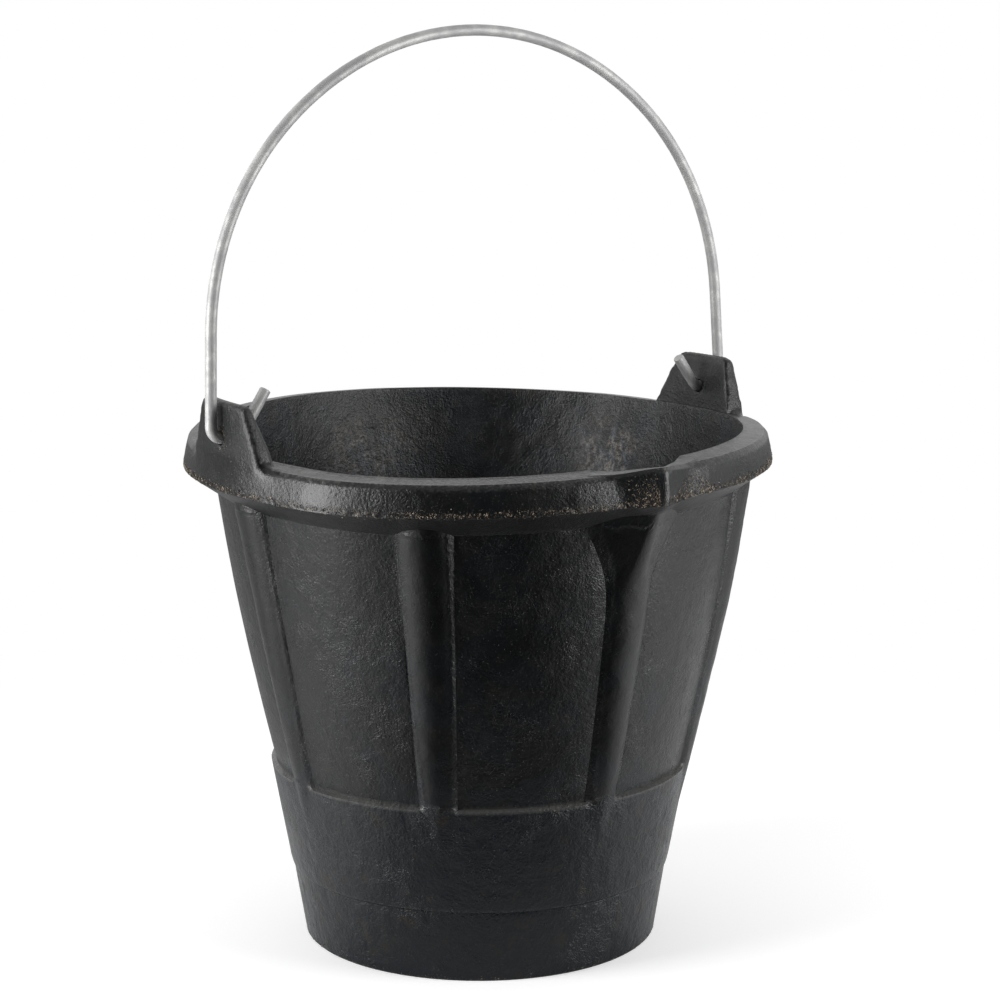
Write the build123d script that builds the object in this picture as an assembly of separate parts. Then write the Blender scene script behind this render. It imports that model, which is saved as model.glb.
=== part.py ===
"""Rubber bucket with a wire bail: one rubber moulding and one bent wire.

Millimetres, +Z up. The origin is the middle of the underside, X runs along the
bail's pivot from ear to ear, and the pouring spout points along -Y.
"""
import os
from math import cos, hypot, radians, sin, tan

from build123d import *

# Wall of the moulding, from the floor up
body_height = 296.8         # underside to the inner edge of the mouth
base_radius = 102.5         # outside, at the floor
base_corner = 1.0           # rounded edge round the underside
base_band_height = 41.5     # plain band round the foot
base_band_inset = 1.1       # the band's top edge lies this far inside the wall above it
skirt_height = 103.6        # top of the thick lower wall
panel_step = 2.4            # the upper wall lies this far inside the top of the skirt
ledge_height = 1.2          # height of the sloping ledge at that step
panel_radius = 151.5        # outside of the upper wall, where the rim begins
wall_bow = 1.3              # outward swell of the upper wall at half height
wall_thickness = 4.5        # measured level, through the upper wall
floor_thickness = 9.0
floor_fillet = 10.0         # inside corner between the floor and the wall

# Rim, measured down from the mouth
rim_overhang = 18.5         # from the upper wall out to the widest line of the rim
rim_bevel_drop = 31.5       # where the sloping underside leaves the wall
flash_bottom_drop = 18.8    # lower edge of the widest band, along the mould's parting line
flash_top_drop = 15.8
rim_flare = 2.3             # the outer face leans in by this much towards the top
rim_face_bow = 0.5          # outward swell of the outer face
rim_top_fall = 1.6          # the top falls by this much towards the outside
rim_edge = 2.4              # rounded outer edge of the top

# Ribs down the wall
rib_count = 8
rib_width = 29.5            # at the top
rib_depth = 6.4             # at the top
rib_foot_drop = 21.0        # the tip ends this far below the top of the skirt
rib_foot_radius = 14.0      # roundness at the tip
rib_bury = 9.0              # how far each end runs on into the rim and the skirt

# Pouring spout
spout_reach = 9.6           # nose beyond the widest line of the rim
lip_half_angle = 63.0       # each flank of the lip from the spout's axis, seen from above
spout_half_angle = 57.0     # each flank of the funnel below it
spout_nose_radius = 5.0
spout_foot_drop = 88.0      # where the funnel's ridge leaves the wall, below the mouth
spout_foot_radius = 14.0    # roundness of the ridge there
spout_throat_drop = 24.8    # where the ridge turns out under the lip
spout_throat_inset = 8.6    # the ridge there lies this far inside the nose
lip_top_drop = 1.0          # flat top of the lip, below the mouth
lip_edge = 2.0              # sloped outer edge of the lip's top
lip_thickness = 3.5         # at the nose, through the top of the lip
channel_half_angle = 50.0   # flanks of the channel inside the spout
channel_nose_radius = 3.5
channel_foot_radius = 8.0

# Ears that carry the bail
ear_rise = 30.5             # above the mouth
ear_setback = 0.5           # outer face inside the widest line of the rim
ear_base_thickness = 11.8   # at the level of the mouth
ear_top_thickness = 6.8
ear_base_width = 68.5       # at the level of the mouth
ear_top_width = 43.5
ear_corner = 5.0            # rounded top corners
ear_edge = 1.5              # rounded edges of the outer face
ear_inner_edge = 3.2        # rounded edges of the inner face
pivot_rise = 9.8            # hole above the mouth
hole_clearance = 0.9        # radial, between the wire and its hole

# Wire bail
wire_diameter = 6.4
bend_radius = 6.5           # centreline of the tight bends
bend_inset = 1.0            # the bends begin this far inside the hole
leg_height = 56.8           # straight legs, from the pivot to the spring of the arch
leg_lean = 2.5              # the legs lean in by this much, in degrees
shoulder_radius = 160.3     # arch beside the legs, tighter than its crown
shoulder_turn = 48.0        # slope of the arch, in degrees from upright, where its crown begins
hook_length_right = 22.6    # inner end on the +X side, from its corner to the cut
hook_length_left = 29.5     # the same on the -X side
hook_lean = 35.0            # inner end, from upright towards the middle
bail_lean = 2.3             # how far the bail stands off upright, away from the spout

# Heights and radii worked out from these
flash_bottom = body_height - flash_bottom_drop
flash_top = body_height - flash_top_drop
rim_bevel_height = body_height - rim_bevel_drop
rim_radius = panel_radius + rim_overhang
rim_top_radius = rim_radius - rim_flare
wall_slope = (panel_radius - base_radius) / rim_bevel_height
skirt_radius = base_radius + wall_slope * skirt_height
panel_foot_radius = skirt_radius - panel_step
panel_slope = (panel_radius - panel_foot_radius) / (rim_bevel_height - skirt_height)
pivot_height = body_height + pivot_rise
wire_radius = wire_diameter / 2
ear_outer_radius = rim_radius - ear_setback


def panel_at(height):
    """Outside radius of the upper wall's straight taper at a height."""
    return panel_radius + panel_slope * (height - rim_bevel_height)


def cavity_at(height):
    """Inside radius of the bucket at a height."""
    return panel_at(height) - wall_thickness


mouth_radius = cavity_at(body_height)


def profile_point(radius, height):
    """Point of an outline that is turned about the bucket's axis."""
    return Vector(radius, 0, height)


def bowed(low, high, bow):
    """Arc between two points of an outline that swells outwards by the bow."""
    middle = (low + high) / 2
    along = (high - low).normalized()
    return ThreePointArc(low, middle + Vector(along.Z, 0, -along.X) * bow, high)


def turned(line):
    """Solid turned about the bucket's axis from an open outline that starts and ends on the axis."""
    closing = Line(line @ 1, line @ 0)
    return revolve(make_face(line.edges() + closing.edges()), Axis.Z)


def outer_body():
    """Full body of the wall and the rim, before it is hollowed."""
    band_radius = base_radius + wall_slope * base_band_height - base_band_inset
    foot = [
        profile_point(0, 0),
        profile_point(base_radius - base_corner, 0),
        profile_point(base_radius, base_corner),
        profile_point(band_radius, base_band_height),
        profile_point(band_radius + base_band_inset, base_band_height + base_band_inset),
        profile_point(skirt_radius, skirt_height),
        profile_point(panel_foot_radius, skirt_height + ledge_height),
    ]
    panel_top = profile_point(panel_radius, rim_bevel_height)
    edge_height = body_height - rim_top_fall
    underside = [
        panel_top,
        profile_point(rim_radius, flash_bottom),
        profile_point(rim_radius, flash_top),
    ]
    top = [
        profile_point(rim_top_radius, edge_height - rim_edge),
        profile_point(rim_top_radius - rim_edge, edge_height),
        profile_point(mouth_radius, body_height),
        profile_point(0, body_height),
    ]
    wall = bowed(foot[-1], panel_top, wall_bow)
    face = bowed(underside[-1], top[0], rim_face_bow)
    lower = Polyline(*foot).edges() + wall.edges()
    upper = Polyline(*underside).edges() + face.edges() + Polyline(*top).edges()
    return turned(Wire(lower + upper))


def cavity():
    """Inside of the bucket, a plain taper with a rounded corner at the floor."""
    above = body_height + rim_edge
    outline = FilletPolyline(
        profile_point(0, floor_thickness),
        profile_point(cavity_at(floor_thickness), floor_thickness),
        profile_point(cavity_at(above), above),
        radius=floor_fillet,
    )
    lid = Line(outline @ 1, profile_point(0, above))
    return turned(Wire(outline.edges() + lid.edges()))


def rib():
    """Rounded rib on the +X side: a bowed taper whose axis lies inside the wall."""
    top_height = rim_bevel_height
    foot_height = skirt_height - rib_foot_drop
    top_radius = (rib_width ** 2 / 4 + rib_depth ** 2) / (2 * rib_depth)
    top_crest = profile_point(panel_radius + rib_depth, top_height)
    foot_crest = profile_point(base_radius + wall_slope * foot_height, foot_height)
    along = (top_crest - foot_crest).normalized()
    inward = Vector(-along.Z, 0, along.X)
    growth = (top_radius - rib_foot_radius) / (top_crest - foot_crest).length * rib_bury
    low_crest = foot_crest - along * rib_bury
    high_crest = top_crest + along * rib_bury
    low_centre = low_crest + inward * (rib_foot_radius - growth)
    high_centre = high_crest + inward * (top_radius + growth)
    crest = bowed(low_crest, high_crest, wall_bow)
    sides = Polyline(high_crest, high_centre, low_centre, low_crest)
    return revolve(make_face(crest.edges() + sides.edges()), Axis(low_centre, high_centre - low_centre))


def spout_section(height, nose, nose_radius, half_angle, half_width):
    """Level V with a rounded nose towards -Y, closed across its back."""
    turn = radians(half_angle)
    apex = nose + nose_radius * (1 / sin(turn) - 1)
    centre = nose - nose_radius
    touch_x = nose_radius * cos(turn)
    touch_y = centre + nose_radius * sin(turn)
    back_y = apex - half_width / tan(turn)
    left, right = (-half_width, -back_y), (half_width, -back_y)
    flank_l = Line(left, (-touch_x, -touch_y))
    nose_arc = ThreePointArc((-touch_x, -touch_y), (0, -nose), (touch_x, -touch_y))
    flank_r = Line((touch_x, -touch_y), right)
    back = Line(right, left)
    return Pos(0, 0, height) * make_face(flank_l.edges() + nose_arc.edges() + flank_r.edges() + back.edges())


nose_radius_out = rim_radius + spout_reach
throat_height = body_height - spout_throat_drop
throat_nose = nose_radius_out - spout_throat_inset
spout_foot_height = body_height - spout_foot_drop
lip_top = body_height - lip_top_drop
ridge_slope = (throat_nose - panel_at(spout_foot_height)) / (throat_height - spout_foot_height)
spout_half_width = rim_overhang + spout_reach + 2 * spout_nose_radius


def spout_funnel():
    """Outside of the spout: a ridge that leaves the wall, turns out under the lip and rises to its top."""
    top_nose = nose_radius_out - rim_flare / 2
    foot = spout_section(
        spout_foot_height, panel_at(spout_foot_height), spout_foot_radius, spout_half_angle, rib_width / 2
    )
    levels = [
        (throat_height, throat_nose, spout_half_angle),
        (flash_bottom, nose_radius_out, lip_half_angle),
        (lip_top - lip_edge, top_nose, lip_half_angle),
        (lip_top, top_nose - lip_edge, lip_half_angle),
    ]
    upper = [
        spout_section(height, nose, spout_nose_radius, half_angle, spout_half_width)
        for height, nose, half_angle in levels
    ]
    return loft([foot] + upper, ruled=True)


def spout_channel():
    """Inside of the spout, parallel to the funnel's ridge and open at the top."""
    top = body_height + rim_edge
    lip_nose = nose_radius_out - rim_flare / 2 - lip_thickness
    foot_nose = lip_nose - ridge_slope * (lip_top - spout_foot_height)
    top_nose = lip_nose + ridge_slope * (top - lip_top)
    return loft([
        spout_section(spout_foot_height, foot_nose, channel_foot_radius, channel_half_angle, spout_half_width),
        spout_section(top, top_nose, channel_nose_radius, channel_half_angle, spout_half_width),
    ], ruled=True)


def ears():
    """Two tabs that carry the rim's outer face upwards, each a tapered shell cut to a trapezoid."""
    low, high = flash_top, body_height + ear_rise
    thin = (ear_base_thickness - ear_top_thickness) / ear_rise
    low_thickness = ear_base_thickness + thin * (body_height - low)
    shell = turned(Polyline(
        profile_point(0, low),
        profile_point(ear_outer_radius, low),
        profile_point(ear_outer_radius, high),
        profile_point(0, high),
    )) - turned(Polyline(
        profile_point(0, low),
        profile_point(ear_outer_radius - low_thickness, low),
        profile_point(ear_outer_radius - ear_top_thickness, high),
        profile_point(0, high),
    ))
    spread = (ear_base_width - ear_top_width) / 2 / ear_rise
    low_half = ear_base_width / 2 + spread * (body_height - low)
    top_half = ear_top_width / 2
    outline = Polygon((-low_half, low), (low_half, low), (top_half, high), (-top_half, high), align=None)
    top_corners = outline.vertices().sort_by(Axis.Y)[-2:]
    face = Plane.YZ * fillet(top_corners, ear_corner)
    pair = shell & extrude(face, amount=rim_radius, both=True)
    rounded = []
    for ear in pair.solids():
        for side, radius in ((-1, ear_edge), (0, ear_inner_edge)):
            broad = ear.faces().sort_by(lambda f: hypot(f.center().X, f.center().Y))[side]
            ear = fillet([edge for edge in broad.edges() if edge.center().Z > body_height], radius)
        rounded.append(ear)
    return rounded


def bail_half(side, hook_length):
    """Corners of the wire's centreline on one side, from the cut end of the hook to the spring of the arch."""
    inner_face = ear_outer_radius - ear_base_thickness
    inner_face += (ear_base_thickness - ear_top_thickness) * pivot_rise / ear_rise
    hook_turn = radians(90 - hook_lean)
    corner_x = inner_face + bend_inset - bend_radius * tan(hook_turn / 2)
    lean = radians(hook_lean)
    half = [
        (corner_x - hook_length * sin(lean), pivot_height + hook_length * cos(lean)),
        (corner_x, pivot_height),
        (leg_x, pivot_height),
        (spring_x, pivot_height + leg_height),
    ]
    return [Vector(side * x, 0, z) for x, z in half]


leg_x = ear_outer_radius - bend_inset + bend_radius
spring_x = leg_x - leg_height * tan(radians(leg_lean))


def bail_path():
    """Centreline of the bail in the XZ plane, from the cut end of one hook to the other."""
    lean, turn = radians(leg_lean), radians(shoulder_turn)
    centre_x = spring_x - shoulder_radius * cos(lean)
    centre_z = pivot_height + leg_height - shoulder_radius * sin(lean)
    shoulder = Vector(centre_x + shoulder_radius * cos(turn), 0, centre_z + shoulder_radius * sin(turn))
    crown = Vector(0, 0, centre_z + shoulder_radius + centre_x * (1 - sin(turn)) / cos(turn))
    sides = []
    for side, hook_length in ((1, hook_length_right), (-1, hook_length_left)):
        inner = FilletPolyline(*bail_half(side, hook_length), radius=bend_radius)
        upward = (-side * sin(lean), 0, cos(lean))
        sides += inner.edges()
        sides += TangentArc(inner @ 1, (side * shoulder.X, 0, shoulder.Z), tangent=upward).edges()
    top = ThreePointArc(shoulder, crown, (-shoulder.X, 0, shoulder.Z))
    return Wire(sides + top.edges())


def rubber_bucket():
    """The moulding: wall, ribs, rim, spout and ears in one piece of rubber."""
    solid = outer_body() + spout_funnel()
    one_rib = rib()
    for index in range(rib_count):
        solid += Rot(0, 0, index * 360 / rib_count) * one_rib
    for ear in ears():
        solid += ear
    solid -= cavity()
    solid -= spout_channel()
    hole = Cylinder(wire_radius + hole_clearance, 2 * rim_radius)
    return solid - Pos(0, 0, pivot_height) * Rot(0, 90, 0) * hole


def wire_bail():
    """The bail: one length of round wire, leaning a little as it stands."""
    path = bail_path()
    section = Plane(path @ 0, z_dir=path % 0) * Circle(wire_radius)
    upright = sweep(section, path=path)
    pivot = Axis((0, 0, pivot_height), (1, 0, 0))
    return upright.rotate(pivot, -bail_lean)


os.makedirs("parts", exist_ok=True)
for name, piece in (("rubber_bucket", rubber_bucket()), ("wire_bail", wire_bail())):
    export_step(piece, f"parts/{name}.step")
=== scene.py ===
import itertools
import math

import bmesh
import bpy
import numpy as np
from bpy.props import FloatProperty, FloatVectorProperty, IntProperty, PointerProperty
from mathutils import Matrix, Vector
from mathutils.bvhtree import BVHTree


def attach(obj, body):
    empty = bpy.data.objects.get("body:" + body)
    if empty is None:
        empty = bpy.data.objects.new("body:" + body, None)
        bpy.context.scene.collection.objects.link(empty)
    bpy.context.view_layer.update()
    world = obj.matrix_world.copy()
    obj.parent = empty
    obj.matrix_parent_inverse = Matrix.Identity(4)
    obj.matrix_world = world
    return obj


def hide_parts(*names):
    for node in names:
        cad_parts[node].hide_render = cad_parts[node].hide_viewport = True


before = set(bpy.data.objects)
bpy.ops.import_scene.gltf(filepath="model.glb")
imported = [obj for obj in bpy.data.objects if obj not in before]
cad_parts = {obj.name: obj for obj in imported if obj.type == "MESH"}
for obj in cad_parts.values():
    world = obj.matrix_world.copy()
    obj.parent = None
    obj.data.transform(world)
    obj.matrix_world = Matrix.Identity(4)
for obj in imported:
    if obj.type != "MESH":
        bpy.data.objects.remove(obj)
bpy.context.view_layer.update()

bl_info = {
    "name": "Rubber Bucket Maker",
    "version": (1, 0, 0),
    "blender": (4, 5, 0),
    "location": "View3D > Sidebar > Bucket",
    "description": "Dresses a moulded rubber bucket and its galvanised wire bail",
    "category": "Object",
}

MM = 0.001

# Large primes that turn whole-number cells into noise
CELL_PRIMES = (73856093, 19349663, 83492791)
SEED_PRIME = 2654435761
MIX_PRIME = 1274126177

# Levels and radii of the moulding, in metres, as its solid has them
PIVOT_LEVEL = 306.6 * MM
MOUTH_LEVEL = 296.8 * MM
RIM_EDGE_LEVEL = 292.8 * MM
FLASH_TOP = 281.0 * MM
FLASH_BOTTOM = 278.0 * MM
FLASH_MIDDLE = (FLASH_BOTTOM + FLASH_TOP) / 2
BEVEL_FOOT = 265.3 * MM
LEDGE_LEVEL = 103.6 * MM
PANEL_RADIUS = 151.5 * MM
WALL_SLOPE = 0.19963
WALL_THICKNESS = 4.5 * MM
EAR_FACE = 169.5 * MM
SPOUT_AZIMUTH = -90.0

# Distances from the axis: well outside the bucket, and beyond all of the rim but its outer edge
OUTSIDE_REACH = 0.30
RIM_EDGE_REACH = 166 * MM

# The angle from which an edge counts as sharp
SHARP_ANGLE = math.radians(22)

# How the soft rim of the photographed bucket has settled out of round and level
OVAL_AXIS = 27.7
OVAL_SPREAD = 3.7 * MM
SADDLE_FALL = 2.1 * MM
RIM_TILT = 0.8 * MM
LIP_RISE = 2.5 * MM

# Where it has settled: levels in metres and degrees from an ear or the spout
SETTLE_LEVELS = (200 * MM, 285 * MM)
OVAL_FADE = (13, 30)
HOLE_LEVELS = (MOUTH_LEVEL + 0.7 * MM, PIVOT_LEVEL - 4.5 * MM)
EAR_TOP_LEVELS = (PIVOT_LEVEL + 5 * MM, PIVOT_LEVEL + 15 * MM)
LIP_WIDTH = 9
LIP_LEVELS = (276 * MM, 292 * MM)
LIP_REACH = (150 * MM, 165 * MM)

# Where the sides of the ears run out on the rim's outer face
EAR_ROOT_ASIDE = 37 * MM
EAR_ROOT_WIDTH = 10 * MM
EAR_ROOT_FOOT = (281 * MM, 285 * MM)
EAR_ROOT_TOP = (294 * MM, 299 * MM)
EAR_ROOT_REACH = 157 * MM

# The spout and the line of its funnel: degrees from the spout, levels and radius in metres
SPOUT_WIDTH = 17
SPOUT_LEVEL = 200 * MM
SPOUT_REACH = 140 * MM
FUNNEL_WIDTH = 22
FUNNEL_LEVEL = 170 * MM

# How far each kind of place is drawn to its neighbours as facets are rounded
SMALL_FORM_WEIGHT = 0.16
FUNNEL_WEIGHT = 0.6

# Relief of the moulding's mesh: what sharp lines keep of it, and the rough flash and foot
SHARP_RELIEF = 0.2
FLASH_ROUGHNESS = 0.42 * MM
FOOT_ROUGHNESS = 0.30 * MM

# Heights of the relief in the skin, and how much coarser or smoother it is in places
STREAK_HEIGHT = 0.34 * MM
MOTTLE_HEIGHT = 0.34 * MM
CRACKLE_HEIGHT = 0.30 * MM
SPECK_HEIGHT = 0.08 * MM
WAVE_HEIGHT = 0.50 * MM
FOOT_COARSER = 0.25
RIB_SMOOTHER = 0.6
RIM_SMOOTHER = 0.28

# How rough the skin is: its spread, and what dull places and specks add
ROUGH_SPREAD = 0.20
DULL_ROUGHER = 0.14
SPECK_ROUGHER = 0.2
INSIDE_DULL = 0.5
RIM_DULL = 0.35

# How pale the painted highlight on the ledge and the painted light on the rim's top are where they face up,
# and pale worn edges
LEDGE_PAINTED_HIGHLIGHT = 0.4
TOP_PAINTED_LIGHT = 0.30
EDGE_WEAR = 0.12

# Rubbed patches inside: azimuth and half width in degrees, and strength; and the levels they fade over
RUBBED_PATCHES = ((23, 13, 1.0), (84, 17, 0.7))
RUBBED_TOP = (290 * MM, 264 * MM)
RUBBED_FOOT = (120 * MM, 210 * MM)

# Crumbs: how deep they sit, how they differ in size, how uneven they are, and their relief
CRUMB_SEAT = 0.25
CRUMB_SPREAD = 0.38
CRUMB_UNEVEN = (0.6, 1.5)
CRUMB_HEIGHT = 0.03 * MM
CRUMB_CORNERS = np.array(((1, 0, 0), (-1, 0, 0), (0, 1, 0), (0, -1, 0), (0, 0, 1), (0, 0, -1)), dtype=float)
CRUMB_UPPER = ((0, 2, 4), (2, 1, 4), (1, 3, 4), (3, 0, 4))
CRUMB_LOWER = ((2, 0, 5), (1, 2, 5), (3, 1, 5), (0, 3, 5))
CRUMB_FACES = np.array(CRUMB_UPPER + CRUMB_LOWER)

# Fibres: rings along each, how they curve and wander, and how much of a ring lies in the skin
FIBRE_STEPS = 6
FIBRE_BEND = 0.28
FIBRE_WANDER = 0.12
FIBRE_SUNK = 0.4

# Zinc on the wire: how much of a metal it is, and heights of its relief
ZINC_METALLIC = 0.2
ZINC_GRAIN_HEIGHT = 0.035 * MM
ZINC_CLOUD_HEIGHT = 0.20 * MM

# The photograph's viewpoint
CAMERA_PLACE = (-0.9505, -1.4065, 0.5846)
CAMERA_HEADING = 34.45
CAMERA_PITCH = 11.02
CAMERA_LENS = 108.13
SENSOR_WIDTH = 36.0
CLIP_END = 50

# To all but the camera the floor is painted: shade towards it, light by the foot, shade behind on the left
FLOOR_HALF = 20.0
FLOOR_PAINTED_SHADE = (0.03, 0.03, 0.03)
WEDGE_TURN = 7.0
WEDGE_EDGES = (math.radians(12), math.radians(78))
FOOT_PAINTED_GLOW = 0.62
FOOT_REACH = (0.10, 0.34)
DIM_TURN = -150.0
DIM_REACH = (0.18, 0.33)
DIM_PAINTED_SHADE = 0.55

# To the camera the floor turns white between these distances
FLOOR_FADE = (0.22, 0.75)

# The room's brightness to the bucket, from behind it to the camera's side
ROOM_LEVELS = ((0.0, 0.90), (0.07, 0.90), (0.25, 0.85), (0.5, 0.70), (0.75, 0.10), (1.0, 0.02))

# Soft lights: turn from the camera's side in degrees and width, then what both share
LEFT_LIGHT = (-64, 0.55)
RIGHT_LIGHT = (68, 0.60)
LIGHT_DISTANCE = 1.1
LIGHT_HEIGHT = 0.9
LIGHT_LEVEL = 0.46
LIGHT_AIM = 0.17


# Settings


def colour_property(name, description, default):
    """A colour setting."""
    return FloatVectorProperty(name=name, description=description, subtype="COLOR", default=default,
                               min=0.0, max=1.0)


def length_property(name, description, default, least, most):
    """A length setting, from numbers in millimetres."""
    return FloatProperty(name=name, description=description, default=default * MM, min=least * MM,
                         max=most * MM, unit="LENGTH", precision=6)


class RubberSettings(bpy.types.PropertyGroup):
    """Mesh, relief and colours of the moulded rubber"""

    cell: length_property("Mesh cell", "Longest edge of the triangles of the moulding", 3.6, 1, 10)
    fine_cell: length_property("Fine cell", "The same along the flash and the foot", 1.8, 0.5, 10)
    waviness: length_property("Waviness", "Depth of the slow unevenness of the soft wall", 0.34, 0, 2)
    crease: length_property("Crease depth", "Depth of the short creases in the skin", 0.05, 0, 0.5)
    colour: colour_property("Rubber", "Colour of clean rubber", (0.0030, 0.0033, 0.0035))
    foot: colour_property("Foot", "Bluer rubber below the panels", (0.0036, 0.0060, 0.0088))
    cool: colour_property("Cool bloom", "Blue-grey bloom on the skin", (0.0046, 0.0074, 0.0106))
    warm: colour_property("Warm bloom", "Brown-grey bloom on the skin", (0.0130, 0.0106, 0.0084))
    scuff: colour_property("Scuff", "Tan scuffs inside the bucket", (0.30, 0.255, 0.212))
    haze: colour_property("Haze", "Blue-grey haze that runs down the inside", (0.140, 0.168, 0.200))
    speck: colour_property("Speck", "Pale specks of ground rubber and fibre", (0.17, 0.165, 0.155))
    roughness: FloatProperty(name="Roughness", description="Mean roughness of the skin", default=0.29,
                             min=0.05, max=1.0, subtype="FACTOR")


class CrumbSettings(bpy.types.PropertyGroup):
    """Rubber crumbs left along the parting flash"""

    count: IntProperty(name="Flash crumbs", description="Crumbs round the flash of the rim", default=16500,
                       min=0)
    size: length_property("Crumb size", "Mean radius of a crumb", 0.17, 0.05, 2)
    dark: colour_property("Dark crumb", "Colour of most crumbs", (0.020, 0.018, 0.016))
    tan: colour_property("Tan crumb", "Colour of the fibre crumbs", (0.26, 0.20, 0.14))
    pale: colour_property("Pale crumb", "Colour of the palest crumbs", (0.50, 0.42, 0.32))


class FibreSettings(bpy.types.PropertyGroup):
    """Short textile fibres pressed into the skin"""

    count: IntProperty(name="Fibres", description="Fibres over the whole bucket", default=1500, min=0)
    radius: length_property("Fibre radius", "Thickest radius of a fibre", 0.09, 0.02, 1)
    length: length_property("Fibre length", "Mean length of a fibre", 6, 1, 40)
    colour: colour_property("Fibre", "Colour of a fibre", (0.050, 0.048, 0.045))


class WireSettings(bpy.types.PropertyGroup):
    """Finish of the galvanised bail"""

    cell: length_property("Mesh cell", "Edge of the cells that the wire is remeshed with", 0.6, 0.3, 2)
    lump: length_property("Zinc lumps", "Height of the lumps in the zinc", 0.05, 0, 0.4)
    zinc: colour_property("Zinc", "Colour of the dull zinc", (0.38, 0.384, 0.38))
    bright: colour_property("Bright zinc", "Colour of the paler zinc", (0.54, 0.54, 0.53))


class StageSettings(bpy.types.PropertyGroup):
    """Floor, light and viewpoint"""

    floor: colour_property("Floor", "Colour of the floor", (0.80, 0.80, 0.80))
    floor_glow: FloatProperty(name="Floor lift", description="Light added to the floor for the camera alone",
                              default=0.35, min=0.0, max=1.0)
    left_light: FloatProperty(name="Left light", description="Radiance of the left soft light",
                              default=9.0, min=0.0)
    right_light: FloatProperty(name="Right light", description="Radiance of the right soft light",
                               default=6.0, min=0.0)


# Mesh helpers


def hashed(cells, seed):
    """Repeatable numbers from 0 to 1 for whole-number cells."""
    first, second, third = (cells[:, axis] * prime for axis, prime in enumerate(CELL_PRIMES))
    mixed = first ^ second ^ third ^ (seed * SEED_PRIME)
    mixed = (mixed ^ (mixed >> 13)) * MIX_PRIME & 0x7FFFFFFF
    mixed = (mixed ^ (mixed >> 16)) & 0xFFFFF
    return mixed / 0xFFFFF


def lattice_noise(points, cell, seed):
    """Smooth noise from -1 to 1, whose blobs are about one cell across."""
    grid = points / cell + 1000.0
    base = np.floor(grid).astype(np.int64)
    part = grid - base
    ease = part ** 3 * (part * (part * 6 - 15) + 10)
    level = np.zeros(len(points))
    for corner in itertools.product((0, 1), repeat=3):
        weight = np.prod(np.where(corner, ease, 1 - ease), axis=1)
        level += weight * hashed(base + np.array(corner), seed)
    return level * 2 - 1


def two_noises(points, coarse, fine, seed):
    """Noise of two sizes, six parts of the coarse to four of the fine."""
    return lattice_noise(points, coarse, seed) * 0.6 + lattice_noise(points, fine, seed + 1) * 0.4


def smooth_step(low, high, values):
    """Eased 0 to 1 as values go from low to high."""
    share = np.clip((values - low) / (high - low), 0, 1)
    return share * share * (3 - 2 * share)


def near(values, middle, width):
    """1 at the middle, falling to 0 one width away."""
    return 1 - smooth_step(0, width, np.abs(values - middle))


def apply_modifiers(obj):
    """Gives an object the mesh that its modifiers make of it."""
    graph = bpy.context.evaluated_depsgraph_get()
    graph.update()
    mesh = bpy.data.meshes.new_from_object(obj.evaluated_get(graph))
    mesh.name = obj.name
    obj.modifiers.clear()
    obj.data = mesh


def link(name, mesh):
    """A new object in the scene."""
    obj = bpy.data.objects.new(name, mesh)
    bpy.context.scene.collection.objects.link(obj)
    return obj


def new_piece(name, corners, faces, material):
    """A new object of corners and faces in one material."""
    mesh = bpy.data.meshes.new(name)
    mesh.from_pydata(corners, [], faces)
    mesh.materials.append(material)
    mesh.update()
    return link(name, mesh)


def remeshed_copy(node, name, cell):
    """A copy of a node's solid, remeshed in even cells."""
    obj = link(name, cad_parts[node].data.copy())
    obj.data.materials.clear()
    remesh = obj.modifiers.new("even_cells", "REMESH")
    remesh.mode = "VOXEL"
    remesh.voxel_size = cell
    apply_modifiers(obj)
    return obj


def refined_copy(node, name, longest):
    """A copy of a node's solid in triangles no longer than a limit for each edge, its sharp edges marked."""
    shape = bmesh.new()
    shape.from_mesh(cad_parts[node].data)
    bmesh.ops.remove_doubles(shape, verts=shape.verts, dist=0.001 * MM)
    for edge in shape.edges:
        edge.smooth = edge.calc_face_angle(0.0) < SHARP_ANGLE
    for _ in range(9):
        long = [edge for edge in shape.edges if edge.calc_length() > longest(edge)]
        if not long:
            break
        bmesh.ops.subdivide_edges(shape, edges=long, cuts=1, use_single_edge=True)
        bmesh.ops.triangulate(shape, faces=[face for face in shape.faces if len(face.verts) > 3])
    mesh = bpy.data.meshes.new(name)
    shape.to_mesh(mesh)
    shape.free()
    mesh.materials.clear()
    return link(name, mesh)


def wrap_onto(obj, node):
    """Draws an object's vertices onto the surface of a node's solid."""
    solid = link("solid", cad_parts[node].data)
    wrap = obj.modifiers.new("wrap", "SHRINKWRAP")
    wrap.target = solid
    apply_modifiers(obj)
    bpy.data.objects.remove(solid)


def values_of(items, key, width, kind):
    """What each item of a mesh has under a key, in rows of an array."""
    flat = np.empty(len(items) * width, dtype=kind)
    items.foreach_get(key, flat)
    return flat.reshape(-1, width)


def points_of(mesh):
    """Vertex places."""
    return values_of(mesh.vertices, "co", 3, float)


def normals_of(mesh):
    """Vertex normals."""
    return values_of(mesh.vertex_normals, "vector", 3, np.float32).astype(float)


def edges_of(mesh):
    """Vertex pairs of the edges."""
    return values_of(mesh.edges, "vertices", 2, np.int32)


def sharp_edges_of(mesh):
    """Which edges are marked sharp."""
    return values_of(mesh.edges, "use_edge_sharp", 1, bool).ravel()


def set_points(mesh, points):
    """Writes vertex places back."""
    mesh.vertices.foreach_set("co", points.astype(np.float32).ravel())
    mesh.update()


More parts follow.
